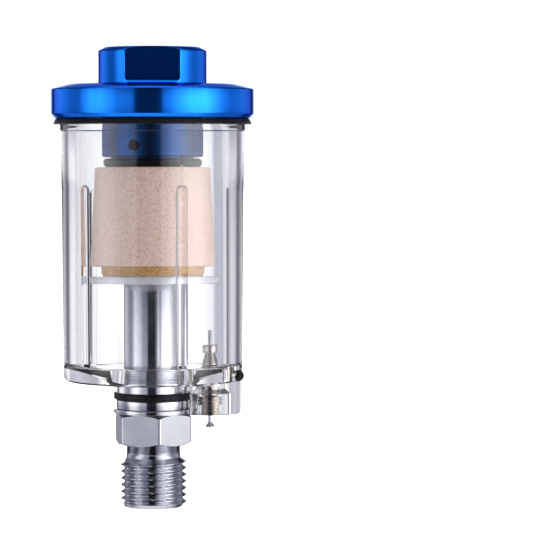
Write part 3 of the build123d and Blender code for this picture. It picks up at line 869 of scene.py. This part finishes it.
def make_element():
    """The sintered sleeve. Grains stand proud on the band that shows below the shroud."""
    _, radius, bottom, top = turned_size("filter_element")
    band_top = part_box("filter_shroud")[0].z + 1.2 * MM
    grain, bore, bore_easing, wall_easing = 0.12 * MM, 7.4 * MM, 0.2 * MM, 0.3 * MM
    wall = radius - grain
    outline = rounded([(bore, bottom, bore_easing), (wall, bottom, wall_easing)])
    outline += [Vector((wall, bottom + 0.5 * MM)), Vector((wall, band_top))]
    outline += rounded([(wall, top, wall_easing), (bore, top, bore_easing)])
    element = lathe("sintered_filter", outline)
    use_tree(element, LOOSE_GRAINS, Bottom=bottom + grain, Top=band_top, Wall=wall - 0.05 * MM,
             Spacing=1.75 * grain, Grain=grain, Seed=7, Material=BRONZE)
    return finish_piece(element, BRONZE, "stem", ["filter_element"], sharp=70)


# --- drain valve

def make_drain_pin():
    """The rod of the drain valve, with the head that is pressed and the shoulder under its spring."""
    axis, _, bottom, top = turned_size("valve_pin")
    head, head_top, cone_top = 0.86 * MM, bottom + 0.35 * MM, bottom + 1.0 * MM
    flange, flange_foot, flange_top = 1.0 * MM, 22.7 * MM, 23.0 * MM
    pin = lathe("drain_pin_rod", rounded([
        (0, bottom, 0), (head, bottom, 0.12 * MM), (head, head_top, 0.12 * MM),
        (PIN_ROD, cone_top, 0.1 * MM), (PIN_ROD, flange_foot, 0), (flange, flange_foot, 0.05 * MM),
        (flange, flange_top, 0.05 * MM), (PIN_ROD, flange_top, 0), (PIN_ROD, top, 0.15 * MM),
        (0, top, 0)]), even_angles(SMALL_SIDES), axis)
    return finish_piece(pin, PIN_METAL, "drain_pin", ["valve_pin"])


def make_poppet():
    """The brass cone that closes the drain, and the collar above it."""
    axis, foot, bottom, top = turned_size("valve_poppet")
    shoulder, waist, collar, collar_low = foot - 0.1 * MM, 1.0 * MM, 1.52 * MM, top - 1.62 * MM
    poppet = lathe("valve_cone", rounded([
        (PIN_ROD, bottom, 0), (foot, bottom, 0.08 * MM), (shoulder, bottom + 0.7 * MM, 0.2 * MM),
        (waist, collar_low, 0.1 * MM), (collar, collar_low, 0.2 * MM), (collar, top, 0.22 * MM),
        (PIN_ROD, top, 0)]), even_angles(SMALL_SIDES), axis)
    return finish_piece(poppet, BRASS, "drain_pin", ["valve_poppet"])


def make_plug():
    """The threaded plug that holds the drain valve in, with a flat on each side for its key."""
    axis, radius, bottom, top = turned_size("valve_plug")
    hole, flat, slot_top, fine = 1.0 * MM, 1.45 * MM, bottom + 2.1 * MM, 0.05 * MM
    outline = rounded([(hole, top, fine), (hole, bottom, fine), (radius - 0.2 * MM, bottom, fine)])
    outline += rows(radius, bottom + 0.25 * MM, top - 0.2 * MM, CORE_PITCH / 10)
    plug = lathe("valve_nut", outline, even_angles(96), axis)
    use_tree(plug, THREAD, Start=bottom - 1 * MM, End=top - fine, Pitch=CORE_PITCH, Depth=CORE_DEPTH,
             Axis_X=axis, Wall_Radius=radius, Material=BRASS)
    for side in (-1, 1):
        cut(plug, key_slot(axis, side, flat, bottom - 1 * MM, slot_top))
    return finish_piece(plug, BRASS, "bowl_body", ["valve_plug"], sharp=26)


def key_slot(axis, side, flat, low, high):
    """What is milled away beside one flat of the plug."""
    mesh = bmesh.new()
    bmesh.ops.create_cube(mesh, size=1.0)
    size = Vector((4 * MM, 8 * MM, high - low))
    for v in mesh.verts:
        v.co = Vector((v.co.x * size.x, v.co.y * size.y, v.co.z * size.z))
        v.co += Vector((axis + side * (flat + size.x / 2), 0, (low + high) / 2))
    return object_from(mesh, "key_slot")


def make_spring():
    """The return spring of the drain valve, a coil of wire."""
    axis, radius, bottom, top = turned_size("valve_spring")
    wire, turns, stroke = 0.13 * MM, 6.7, 1.6 * MM
    spring = object_from(bmesh.new(), "return_spring")
    use_tree(spring, SPRING, Bottom=bottom + wire, Length=top - bottom - 2 * wire, Radius=radius - wire,
             Wire=wire, Turns=turns, Axis_X=axis, Material=PIN_METAL)
    finish_piece(spring, PIN_METAL, "bowl_body", ["valve_spring"])
    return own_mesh(spring)


def make_ball():
    low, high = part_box("side_port_ball")
    mesh = bmesh.new()
    bmesh.ops.create_icosphere(mesh, subdivisions=4, radius=(high.x - low.x) / 2)
    bmesh.ops.translate(mesh, verts=mesh.verts, vec=(low + high) / 2)
    ball = object_from(mesh, "port_ball")
    return finish_piece(ball, RUBBER, "bowl_body", ["side_port_ball"])


DRAIN_X = turned_size("valve_plug")[0]
PIN_METAL, BRASS = plated_metal(DRAIN_X), brass(DRAIN_X)

make_head()
make_stem()
make_bowl()
make_gasket()
make_o_ring()

# name, CAD node, body, material, radius of the hole, easing of the edges
over_tube = 5.77 * MM
make_ring("polished_collar", "collar_ring", "stem", PLATED, over_tube, 0.3 * MM)
make_ring("rubber_washer", "hub_washer", "stem", RUBBER, over_tube, 0.4 * MM)
make_ring("frosted_plate", "baffle_plate", "stem", FROSTED, 3.55 * MM, 0.25 * MM)
make_ring("lower_washer", "filter_bottom_washer", "stem", FIBRE, 3.6 * MM, 0.05 * MM)
make_ring("upper_washer", "filter_top_washer", "stem", FIBRE, 5.7 * MM, 0.05 * MM)

make_shroud()
make_element()
make_drain_pin()
make_poppet()
make_plug()
make_spring()
make_ball()

make_ring("valve_tube", "valve_barrel", "bowl_body", BRASS, 1.2 * MM, 0.2 * MM, SMALL_SIDES)
make_ring("core_seal", "valve_core_seal", "bowl_body", SEAL, 1.42 * MM, 0.3 * MM, SMALL_SIDES)
make_ring("poppet_washer", "poppet_seal", "drain_pin", RUBBER, PIN_ROD, 0.08 * MM,
          SMALL_SIDES)


# --- floor, light and camera

def make_floor():
    """A pale floor, low enough for the bowl to slide down, and not mirrored in the metal."""
    mesh = bmesh.new()
    bmesh.ops.create_grid(mesh, x_segments=1, y_segments=1, size=4.0)
    floor = object_from(mesh, "floor")
    floor.location.z = cad_box[0][2] - SLIDE - 0.1 * MM
    material, tree, shader = new_material("pale floor", Roughness=0.9, Specular_IOR_Level=0.1,
                                          Emission_Color=(1.0, 1.0, 1.0, 1.0), Emission_Strength=0.3)
    paper = put(tree, "ShaderNodeTexNoise", {"Scale": 40.0, "Detail": 3.0}).outputs[0]
    feed(shader, Base_Color=blend(tree, paper, (0.88, 0.88, 0.885), (0.91, 0.91, 0.915)))
    floor.data.materials.append(material)
    floor.visible_glossy = False
    floor.visible_transmission = False


# brightness round the studio, by angle in degrees from the front towards +X
STUDIO = (
    (-180, 2.6), (-164, 0.8), (-158, 0.12), (-150, 0.12), (-144, 0.9), (-128, 1.1), (-105, 0.55),
    (-92, 0.5), (-82, 1.3), (-74, 2.2), (-60, 2.3), (-50, 1.6), (-40, 0.9), (-22, 0.78), (-20, 0.035),
    (10, 0.035), (12, 0.85), (18, 1.0), (24, 1.6), (34, 2.6), (44, 3.6), (64, 3.8), (73, 2.5), (86, 1.1),
    (100, 0.65), (125, 0.85), (144, 0.7), (150, 0.12), (160, 0.12), (165, 0.8), (180, 2.6),
)
STUDIO_PEAK = 4.0
# the same for what is seen through clear plastic, in each quarter of the studio
BEHIND = (
    (0.0, 0.72), (0.17, 0.52), (0.21, 1.0), (0.29, 1.0), (0.31, 0.62), (0.37, 0.55), (0.39, 1.02),
    (0.5, 1.05), (0.77, 1.02), (0.83, 0.55), (1.0, 0.72),
)
BEHIND_PEAK = 1.2
OVERHEAD = 1.15   # the soft light above, and the one below
MATT_LIFT = 1.85  # how much more light the matt pieces inside the bowl are given


def ramp(tree, value, stops, peak):
    """A curve through the given stops, whose highest level is the peak."""
    node = put(tree, "ShaderNodeValToRGB", {0: value})
    elements = node.color_ramp.elements
    while len(elements) < len(stops):
        elements.new(0.5)
    for element, (at, level) in zip(elements, stops):
        element.position = at
        element.color = (level / peak, level / peak, level / peak, 1.0)
    return times(tree, node.outputs[0], peak)


def make_light():
    """A white studio with a tall soft light on each side and a dark gap behind the camera."""
    world = bpy.data.worlds.new("studio")
    bpy.context.scene.world = world
    world.use_nodes = True
    tree = world.node_tree
    tree.nodes.clear()
    xyz = split(tree, put(tree, "ShaderNodeTexCoord").outputs["Generated"])
    angle = calc(tree, "ARCTAN2", xyz[0], times(tree, xyz[1], -1.0))
    turn = calc(tree, "MULTIPLY_ADD", angle, 0.5 / pi, 0.5)
    around = ramp(tree, turn, [((at + 180) / 360, level) for at, level in STUDIO], STUDIO_PEAK)
    # the side lights fade towards the floor, stop above the object, and a soft one hangs overhead
    low_part = remap(tree, xyz[2], -0.14, 0.0, 0.62, 1.0)
    high_part = remap(tree, xyz[2], 0.10, 0.24, 1.0, 0.32)
    shown = times(tree, around, times(tree, low_part, high_part))
    steep = calc(tree, "ABSOLUTE", xyz[2])
    shown = blend_values(tree, remap(tree, steep, 0.72, 0.90, 0.0, 1.0), shown, OVERHEAD)
    # what is seen straight through clear plastic: white behind, grey at a slant and in one narrow strip
    quarter = calc(tree, "FRACT", calc(tree, "MULTIPLY_ADD", turn, 4.0, 0.5))
    through = ramp(tree, quarter, BEHIND, BEHIND_PEAK)
    path = put(tree, "ShaderNodeLightPath").outputs
    # light that wanders inside the plastic counts as seen through it; a mirror in the bowl doesn't
    wandering = times(tree, calc(tree, "GREATER_THAN", path["Glossy Depth"], 1.5),
                      calc(tree, "LESS_THAN", path["Transmission Depth"], 2.5))
    straight = calc(tree, "MAXIMUM", calc(tree, "LESS_THAN", path["Glossy Depth"], 0.5), wandering)
    straight = times(tree, straight, calc(tree, "LESS_THAN", path["Diffuse Depth"], 0.5))
    clear = times(tree, path["Is Transmission Ray"], straight)
    matt = calc(tree, "GREATER_THAN", path["Diffuse Depth"], 0.5)
    shown = blend_values(tree, matt, shown, times(tree, around, MATT_LIFT))
    level = blend_values(tree, clear, shown, through)
    level = blend_values(tree, path["Is Camera Ray"], level, 1.05)
    warm = times(tree, level, remap(tree, level, 0.0, 1.0, 0.70, 0.985))
    tint = put(tree, "ShaderNodeCombineColor", {0: warm, 1: warm, 2: level}).outputs[0]
    background = put(tree, "ShaderNodeBackground", {"Color": tint})
    put(tree, "ShaderNodeOutputWorld", {0: background.outputs[0]})


def make_camera():
    """A long lens from the front, a little above the object's middle, turned slightly aside."""
    downward, aside = 2.9, -2.64
    camera = bpy.data.cameras.new("camera")
    camera.lens = 173.5
    camera.sensor_width = 36.0
    camera.clip_start = 0.01
    holder = bpy.data.objects.new("camera", camera)
    holder.location = (0.0, -0.525, 0.0725)
    holder.rotation_euler = (radians(90 - downward), 0.0, radians(aside))
    bpy.context.scene.collection.objects.link(holder)
    bpy.context.scene.camera = holder


make_floor()
make_light()
make_camera()
view = bpy.context.scene.view_settings
view.view_transform, view.look = "Standard", "None"
